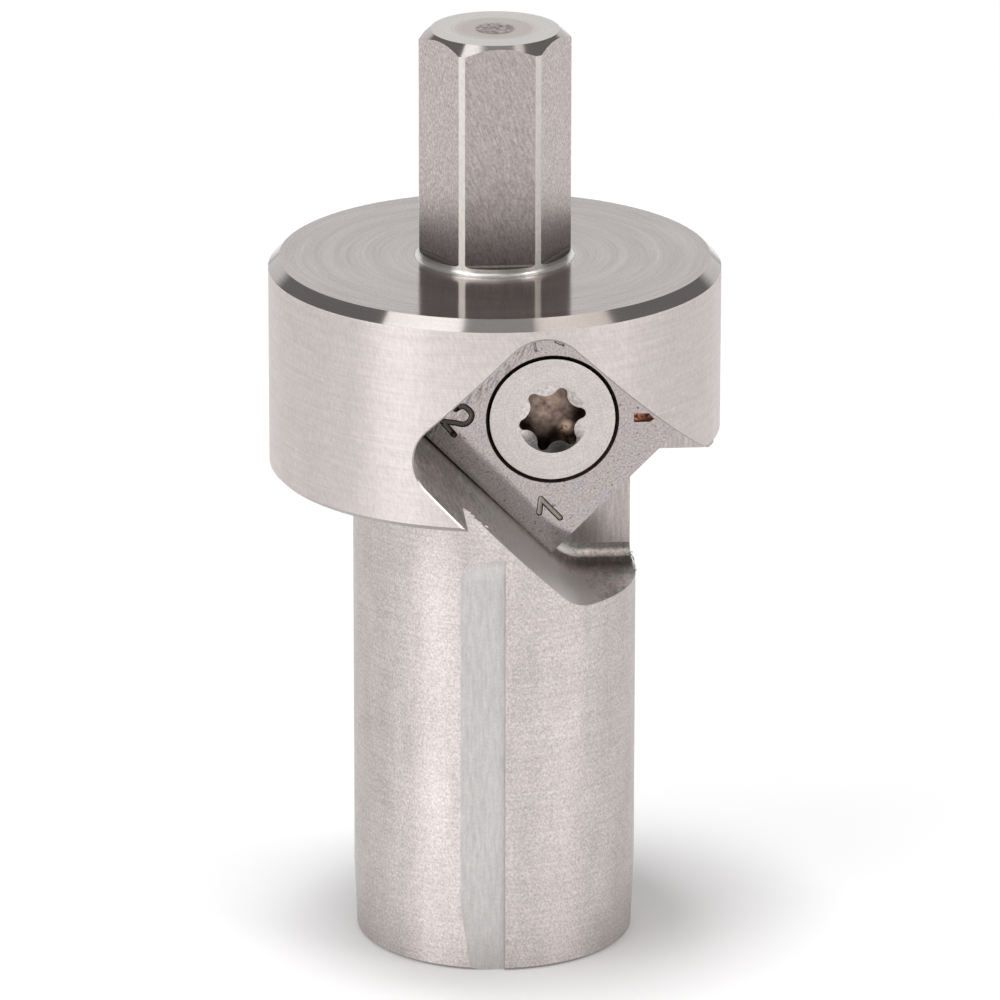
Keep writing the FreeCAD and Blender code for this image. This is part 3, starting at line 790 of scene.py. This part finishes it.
def knife_finish(corners, normal):
    """The finish of a face of the knife: ground, or one of the marks cut into its face."""
    middle = sum(corners, Vector()) / len(corners)
    from_centre = middle - KNIFE_CENTRE
    aside = max(abs(from_centre.dot(OUT)), abs(from_centre.dot(DOWN)))
    if from_centre.length < BORE_REACH and normal.y > -FACING:
        return "bore"
    if not FACE_LEVEL <= middle.y <= DEEPEST_MARK or aside > KNIFE_HALF - UNMARKED_BORDER:
        return "ground"
    if abs(normal.y) < STEEP:
        return "number_side"
    return "rust" if middle.x > RUST_LEFT and middle.z > RUST_BOTTOM else "number_floor"


def ground_carbide(name, colour, cloud_tint, roughness):
    """Ground carbide. A fine speckle dulls its sharp reflections, with faint bluish clouds, a few pits
    and short nicks beside the pocket's upper rim."""
    material, tree, shader, place = metal(name, colour, roughness)
    speckle = grains(tree, place, (0.14, 0.14, 0.14), detail=4.0)
    streak = grains(tree, place, (0.1, 0.1, 0.7), (0.0, -0.785, 0.0))
    clouds = grains(tree, place, (1.3, 1.3, 1.3), detail=3.0)
    nicks = grains(tree, place, (1.1, 0.3, 0.2), (0.0, 1.134, 0.0), 1.0)
    pits = grains(tree, place, (0.22, 0.22, 0.22), (0.3, 0.2, 0.1), 1.0)
    upper_side = KNIFE_CENTRE.dot(-DOWN) + KNIFE_HALF
    height = add(tree, "ShaderNodeVectorMath", {0: place, 1: -DOWN}, operation="DOT_PRODUCT")
    beside_rim = add(
        tree,
        "ShaderNodeMapRange",
        {
            "Value": height.outputs["Value"],
            "From Min": (upper_side - NICKS_START) * MM,
            "From Max": (upper_side - NICKS_FULL) * MM,
        },
    ).outputs[0]
    nicked = add(
        tree,
        "ShaderNodeMapRange",
        {"Value": nicks, "From Min": 0.5, "From Max": 0.62, "To Min": 0.0, "To Max": 0.4},
    ).outputs[0]
    pitted = add(
        tree,
        "ShaderNodeMapRange",
        {"Value": pits, "From Min": 0.68, "From Max": 0.74, "To Min": 0.0, "To Max": 0.6},
    ).outputs[0]
    darker = add(tree, "ShaderNodeMath", {0: nicked, 1: beside_rim}, operation="MULTIPLY").outputs[0]
    darker = add(tree, "ShaderNodeMath", {0: darker, 1: pitted}, operation="MAXIMUM").outputs[0]
    left = add(tree, "ShaderNodeMath", {0: 1.0, 1: darker}, operation="SUBTRACT").outputs[0]
    plain = shaded(tree, shader, colour, [(speckle, 0.3), (streak, 0.08), (clouds, 0.06)])
    cloudy = add(tree, "ShaderNodeMapRange", {"Value": clouds, "From Min": 0.45, "From Max": 0.7}).outputs[0]
    cool = tinted(tree, plain, cloud_tint, cloudy)
    worn = add(tree, "ShaderNodeVectorMath", {0: cool, 3: left}, operation="SCALE").outputs[0]
    tree.links.new(worn, shader.inputs["Base Color"])
    relief(tree, shader, [(speckle, 0.001), (streak, 0.0003)])
    return material


# The 2 at the left is full of dirt and the 1 is clean. The rusty mark is palest at its left end.
NUMBER_FADES = [(0, -1.5, 1.5, 0.4, 1.35)]
RUST_FADES = [(0, 9.9, 10.7, 1.7, 0.8)]

KNIFE_FINISHES = {
    # Face, ground: it mirrors the room under a fine sparkle.
    "ground": ground_carbide("Carbide_ground", "b3a9a7", "eef4fb", 0.08),
    # Bore, under a film of oil and painted darker still, a painted shade in the gap round the screw: dark
    # brown.
    "bore": cut_metal("Carbide_bore_oily_painted_shade", "4a403c", 0.5, (0.2, 0.2, 0.2), 0.15, 0.002),
    # Floor of the numbers, milled: matt grey.
    "number_floor": cut_metal(
        "Carbide_number_floor",
        "aca39c",
        0.5,
        cell=(0.15, 0.15, 0.15),
        share=0.1,
        depth_mm=0.001,
        fades=NUMBER_FADES,
    ),
    # Sides of the numbers: painted dark, a painted shade in the grooves that makes a dark outline.
    "number_side": cut_metal(
        "Carbide_number_side_painted_shade",
        "3a322e",
        0.5,
        cell=(0.15, 0.15, 0.15),
        share=0.1,
        depth_mm=0.001,
    ),
    # Rust in the mark: red-brown and blotchy.
    "rust": cut_metal(
        "Rust_in_a_mark",
        "8e5f49",
        0.6,
        cell=(0.25, 0.25, 0.25),
        share=0.9,
        depth_mm=0.02,
        fades=RUST_FADES,
    ),
}
carved_knife = knife_mesh()
finish(carved_knife, knife_finish, KNIFE_FINISHES)
placed("numbered_knife", carved_knife, "cutting_insert")


# Screw: polished head, a dark recess with a shallow cone, and a thread on its hidden shank.
def screw_head_steel(name, colour, roughness):
    """Turned and polished steel. Faint rings round the screw's own axis and a speckle soften its shine."""
    material, tree, shader, place = metal(name, colour, roughness)
    fine, _ = rings(tree, place, 0.3, 4, KNIFE_CENTRE, (math.pi / 2, 0.0, 0.0))
    speckle = grains(tree, place, (0.13, 0.13, 0.13), detail=4.0)
    clouds = grains(tree, place, (0.8, 0.8, 0.8), detail=4.0)
    shaded(tree, shader, colour, [(fine, 0.05), (speckle, 0.17), (clouds, 0.06)])
    relief(tree, shader, [(fine, 0.0005), (speckle, 0.001)])
    return material


def recess_steel(name, colour, painted_glint_colour, roughness):
    """Steel under brown oil. The recess is dark brown, with a painted pool of light on its floor, painted
    shade left in its lobes, and a painted coppery glint in one lobe."""
    material, tree, shader, place = metal(name, colour, roughness)
    blotch = grains(tree, place, (0.5, 0.5, 0.5), detail=5.0)
    # A painted pool of light on the floor, and a painted glint in one lobe.
    floor = spot(tree, place, *RECESS_FLOOR_PAINTED_LIGHT)
    oily = shaded(tree, shader, colour, [(blotch, 0.5)], [floor])
    away = spot(tree, place, *PAINTED_GLINT_SPOT)
    patchy = add(tree, "ShaderNodeMapRange", {"Value": blotch, "From Min": 0.28, "From Max": 0.42}).outputs[0]
    bare = add(tree, "ShaderNodeMath", {0: 1.0, 1: away}, operation="SUBTRACT").outputs[0]
    bare = add(tree, "ShaderNodeMath", {0: bare, 1: patchy}, operation="MULTIPLY").outputs[0]
    mixed = add(
        tree,
        "ShaderNodeMix",
        {"Factor": bare, "A": oily, "B": linear(painted_glint_colour)[:3]},
        data_type="VECTOR",
    ).outputs[1]
    tree.links.new(mixed, shader.inputs["Base Color"])
    relief(tree, shader, [(blotch, 0.008)])
    return material


# The lower side of the recess's mouth is darker.
MOUTH_SPOTS = [((4.7, 0.5, 35.35), 2.1, 0.08)]

SCREW_FINISHES = {
    # Head, polished: softly shiny.
    "head": screw_head_steel("Screw_head_polished", "cbc4c1", 0.25),
    # Cone at the recess's mouth, turned: shiny, and darker on its lower side.
    "mouth": cut_metal(
        "Screw_recess_mouth",
        "cdc6c3",
        0.22,
        cell=(0.25, 0.25, 0.25),
        share=0.2,
        depth_mm=0.004,
        spots=MOUTH_SPOTS,
    ),
    # Six-lobe recess, full of old oil: dark brown, with a painted pool of light on its floor, painted shade
    # left in its lobes and a painted coppery glint.
    "recess": recess_steel("Screw_recess_oily_painted_light", "4a3f39", "ffdec2", 0.3),
}


def screw_finish(corners, normal):
    """The finish of a face of the screw: its head, the mouth of its recess, or the recess."""
    middle = sum(corners, Vector()) / len(corners)
    radius = (middle - KNIFE_CENTRE - Vector((0, middle.y, 0))).length
    if middle.y < RECESS_DEPTH and radius < RECESS_RADIUS:
        return "mouth" if normal.y < -FACING and middle.y < MOUTH_DEPTH else "recess"
    in_mouth = middle.y < MOUTH_DEPTH and radius < MOUTH_RADIUS and normal.y > -0.999
    return "mouth" if in_mouth else "head"


def screw_thread():
    """The thread on the screw's shank, a triangular ridge wound along it."""
    tree, source = new_tree("Thread_ridge", THREAD)
    height = add(
        tree,
        "ShaderNodeMath",
        {0: source.outputs["Pitch"], 1: source.outputs["Turns"]},
        operation="MULTIPLY",
    )
    spiral = add(
        tree,
        "GeometryNodeCurveSpiral",
        {
            "Resolution": 48,
            "Rotations": source.outputs["Turns"],
            "Start Radius": source.outputs["Radius"],
            "End Radius": source.outputs["Radius"],
            "Height": height.outputs[0],
        },
    )
    ridge = add(
        tree,
        "GeometryNodeCurvePrimitiveCircle",
        {"Resolution": 3, "Radius": THREAD_RIDGE * MM},
    )
    wound = add(
        tree,
        "GeometryNodeCurveToMesh",
        {"Curve": spiral.outputs[0], "Profile Curve": ridge.outputs[0], "Fill Caps": True},
    )
    real = add(tree, "GeometryNodeRealizeInstances", {"Geometry": wound.outputs[0]})
    painted = add(
        tree,
        "GeometryNodeSetMaterial",
        {"Geometry": real.outputs[0], "Material": SCREW_FINISHES["head"]},
    )
    add(tree, "NodeGroupOutput", {0: painted.outputs[0]})
    mesh = shaped_by(tree, bpy.data.meshes.new("thread_seed"), THREAD, "screw_thread")
    start = KNIFE_CENTRE + Vector((0, THREAD_START, 0))
    mesh.transform(Matrix.Translation(start * MM) @ Matrix.Rotation(math.radians(-90), 4, "X"))
    return mesh


screw_mesh = merged_copy("insert_screw", "lobed_screw")
finish(screw_mesh, screw_finish, SCREW_FINISHES)
placed("lobed_screw", screw_mesh, "insert_screw")
placed("screw_thread", screw_thread())


# Burrs: crumbs of torn steel along two edges of the pocket.
def torn_crumbs():
    """Small crumbs of steel in a ragged row along each torn edge."""
    tree, source = new_tree("Row_of_crumbs", CRUMBS)
    curve = add(tree, "GeometryNodeMeshToCurve", {"Mesh": source.outputs[0]})
    even = add(
        tree,
        "GeometryNodeResampleCurve",
        {"Curve": curve.outputs[0], "Length": source.outputs["Spacing"]},
        mode="LENGTH",
    )
    row = add(tree, "GeometryNodeCurveToPoints", {"Curve": even.outputs[0]}, mode="EVALUATED")
    shift = add(
        tree,
        "FunctionNodeRandomValue",
        {"Min": (-0.1 * MM, -0.02 * MM, -0.1 * MM), "Max": (0.1 * MM, 0.03 * MM, 0.1 * MM), "Seed": 4},
        data_type="FLOAT_VECTOR",
    )
    ragged = add(
        tree,
        "GeometryNodeSetPosition",
        {"Geometry": row.outputs[0], "Offset": shift.outputs[0]},
    )
    turn = add(
        tree,
        "FunctionNodeRandomValue",
        {"Min": (0, 0, 0), "Max": (6.28, 6.28, 6.28), "Seed": 5},
        data_type="FLOAT_VECTOR",
    )
    stretch = add(
        tree,
        "FunctionNodeRandomValue",
        {"Min": (0.3, 0.25, 0.4), "Max": (0.9, 0.6, 1.6), "Seed": 6},
        data_type="FLOAT_VECTOR",
    )
    crumb = add(
        tree,
        "GeometryNodeMeshIcoSphere",
        {"Radius": source.outputs["Size"], "Subdivisions": 1},
    )
    strewn = add(
        tree,
        "GeometryNodeInstanceOnPoints",
        {
            "Points": ragged.outputs[0],
            "Instance": crumb.outputs[0],
            "Rotation": turn.outputs[0],
            "Scale": stretch.outputs[0],
        },
    )
    real = add(tree, "GeometryNodeRealizeInstances", {"Geometry": strewn.outputs[0]})
    # The crumbs take the rim's painted highlight colour.
    painted = add(
        tree,
        "GeometryNodeSetMaterial",
        {"Geometry": real.outputs[0], "Material": FINISHES["edge"]},
    )
    add(tree, "NodeGroupOutput", {0: painted.outputs[0]})
    return shaped_by(tree, lines_mesh("torn_edges", TORN_EDGES), CRUMBS, "pocket_burrs")


placed("pocket_burrs", torn_crumbs())

# Camera
camera = bpy.data.cameras.new("Camera")
camera.lens = CAMERA_LENS
camera.sensor_width = CAMERA_SENSOR
camera_object = bpy.data.objects.new("Camera", camera)
camera_object.matrix_world = (
    Matrix.Translation(CAMERA_PLACE)
    @ Matrix.Rotation(math.radians(CAMERA_TURN), 4, "Z")
    @ Matrix.Rotation(math.radians(90 - CAMERA_DROP), 4, "X")
    @ Matrix.Rotation(math.radians(CAMERA_ROLL), 4, "Z")
)
bpy.context.scene.collection.objects.link(camera_object)
bpy.context.scene.camera = camera_object


# Studio
def direction(azimuth, elevation):
    """Unit vector from the tool, by degrees to the right of the camera and above the floor."""
    front = Vector((-math.sin(STUDIO_TURN), -math.cos(STUDIO_TURN), 0.0))
    right = Vector((math.cos(STUDIO_TURN), -math.sin(STUDIO_TURN), 0.0))
    turn, rise = math.radians(azimuth), math.radians(elevation)
    level = front * math.cos(turn) + right * math.sin(turn)
    return level * math.cos(rise) + Vector((0, 0, math.sin(rise)))


def white_paper():
    """Matt white paper. It is white to the camera and in reflections, and keeps the tool's shadow."""
    paper = bpy.data.materials.new("Paper_white")
    paper.use_nodes = True
    tree = paper.node_tree
    tree.nodes.clear()
    path = add(tree, "ShaderNodeLightPath").outputs
    seen = add(
        tree,
        "ShaderNodeMath",
        {0: path["Is Camera Ray"], 1: path["Is Glossy Ray"]},
        operation="MAXIMUM",
    )
    seen = add(
        tree,
        "ShaderNodeMath",
        {0: seen.outputs[0], 1: path["Is Transmission Ray"]},
        operation="MAXIMUM",
    )
    glow = add(tree, "ShaderNodeMath", {0: seen.outputs[0], 1: FLOOR_GLOW}, operation="MULTIPLY")
    diffuse = add(tree, "ShaderNodeBsdfDiffuse", {"Color": linear("e9e9ea")})
    emission = add(
        tree,
        "ShaderNodeEmission",
        {"Color": linear("ffffff"), "Strength": glow.outputs[0]},
    )
    both = add(tree, "ShaderNodeAddShader", {0: diffuse.outputs[0], 1: emission.outputs[0]})
    add(tree, "ShaderNodeOutputMaterial", {"Surface": both.outputs[0]})
    return paper


def paper_floor():
    """A sheet of paper under the tool, 6 m wide."""
    mesh = bpy.data.meshes.new("Floor")
    mesh.from_pydata([(-3, -3, 0), (3, -3, 0), (3, 3, 0), (-3, 3, 0)], [], [(0, 1, 2, 3)])
    mesh.materials.append(white_paper())
    floor = bpy.data.objects.new("Floor", mesh)
    bpy.context.scene.collection.objects.link(floor)


def towards(tree, way, azimuth, elevation, start, full, elsewhere=0.0, there=1.0):
    """A value that changes smoothly around a direction, between two cosines of the angle to it."""
    cosine = add(
        tree,
        "ShaderNodeVectorMath",
        {0: way, 1: direction(azimuth, elevation)},
        operation="DOT_PRODUCT",
    ).outputs["Value"]
    return add(
        tree,
        "ShaderNodeMapRange",
        {"Value": cosine, "From Min": start, "From Max": full, "To Min": elsewhere, "To Max": there},
        interpolation_type="SMOOTHSTEP",
    ).outputs[0]


def grey_room():
    """A grey room, paler overhead in front and low on the wall behind, and white to the camera."""
    world = bpy.data.worlds.new("Studio")
    bpy.context.scene.world = world
    world.use_nodes = True
    tree = world.node_tree
    tree.nodes.clear()
    way = add(tree, "ShaderNodeTexCoord").outputs["Generated"]
    height = add(tree, "ShaderNodeSeparateXYZ", {0: way}).outputs[2]
    room = towards(tree, way, 0, 60, 0.72, 0.92, ROOM_STRENGTH, CEILING_STRENGTH)
    behind = towards(tree, way, 180, 0, 0.72, 0.84)
    low = add(
        tree,
        "ShaderNodeMapRange",
        {"Value": height, "From Min": 0.55, "From Max": 0.4},
        interpolation_type="SMOOTHSTEP",
    ).outputs[0]
    wall = add(tree, "ShaderNodeMath", {0: behind, 1: low}, operation="MULTIPLY").outputs[0]
    room = add(
        tree,
        "ShaderNodeMix",
        {"Factor": wall, "A": room, "B": WALL_STRENGTH},
        data_type="FLOAT",
    ).outputs[0]
    path = add(tree, "ShaderNodeLightPath")
    strength = add(
        tree,
        "ShaderNodeMix",
        {"Factor": path.outputs["Is Camera Ray"], "A": room, "B": 1.0},
        data_type="FLOAT",
    ).outputs[0]
    background = add(tree, "ShaderNodeBackground", {"Color": linear("ffffff"), "Strength": strength})
    add(tree, "ShaderNodeOutputWorld", {"Surface": background.outputs[0]})


def softbox(name, azimuth, elevation, width, height, lean, radiance, colour, reflected=True):
    """A lamp that faces the tool and may lean over, with the brightness of its face."""
    lamp = bpy.data.lights.new(name, "AREA")
    lamp.shape = "RECTANGLE"
    lamp.size = width
    lamp.size_y = height
    lamp.energy = radiance * math.pi * width * height
    lamp.color = linear(colour)[:3]
    item = bpy.data.objects.new(name, lamp)
    way = direction(azimuth, elevation)
    facing = way.to_track_quat("Z", "Y").to_matrix().to_4x4()
    place = Matrix.Translation(Vector(LAMP_AIM) + way * LAMP_DISTANCE)
    item.matrix_world = place @ facing @ Matrix.Rotation(math.radians(lean), 4, "Z")
    item.visible_camera = False
    item.visible_glossy = reflected
    bpy.context.scene.collection.objects.link(item)


paper_floor()
grey_room()
# Each lamp: azimuth and elevation in degrees, width and height in metres, lean in degrees, brightness.
softbox("Softbox_left", -54, 40, 0.72, 2.0, 10, 1.35, "fffefc")
softbox("Softbox_right", 68, 43, 0.6, 1.55, 0, 0.8, "fff6ee")
softbox("Softbox_front", -14, 37, 1.0, 0.45, 0, 1.3, "fffaf6")
softbox("Lamp_for_rims", 62, 43, 0.3, 0.3, 0, 4.0, "ffffff")
softbox("Lamp_above_floor", -70, 87, 0.4, 0.4, 0, 24.0, "ffffff", reflected=False)

bpy.context.scene.view_settings.view_transform = "Standard"
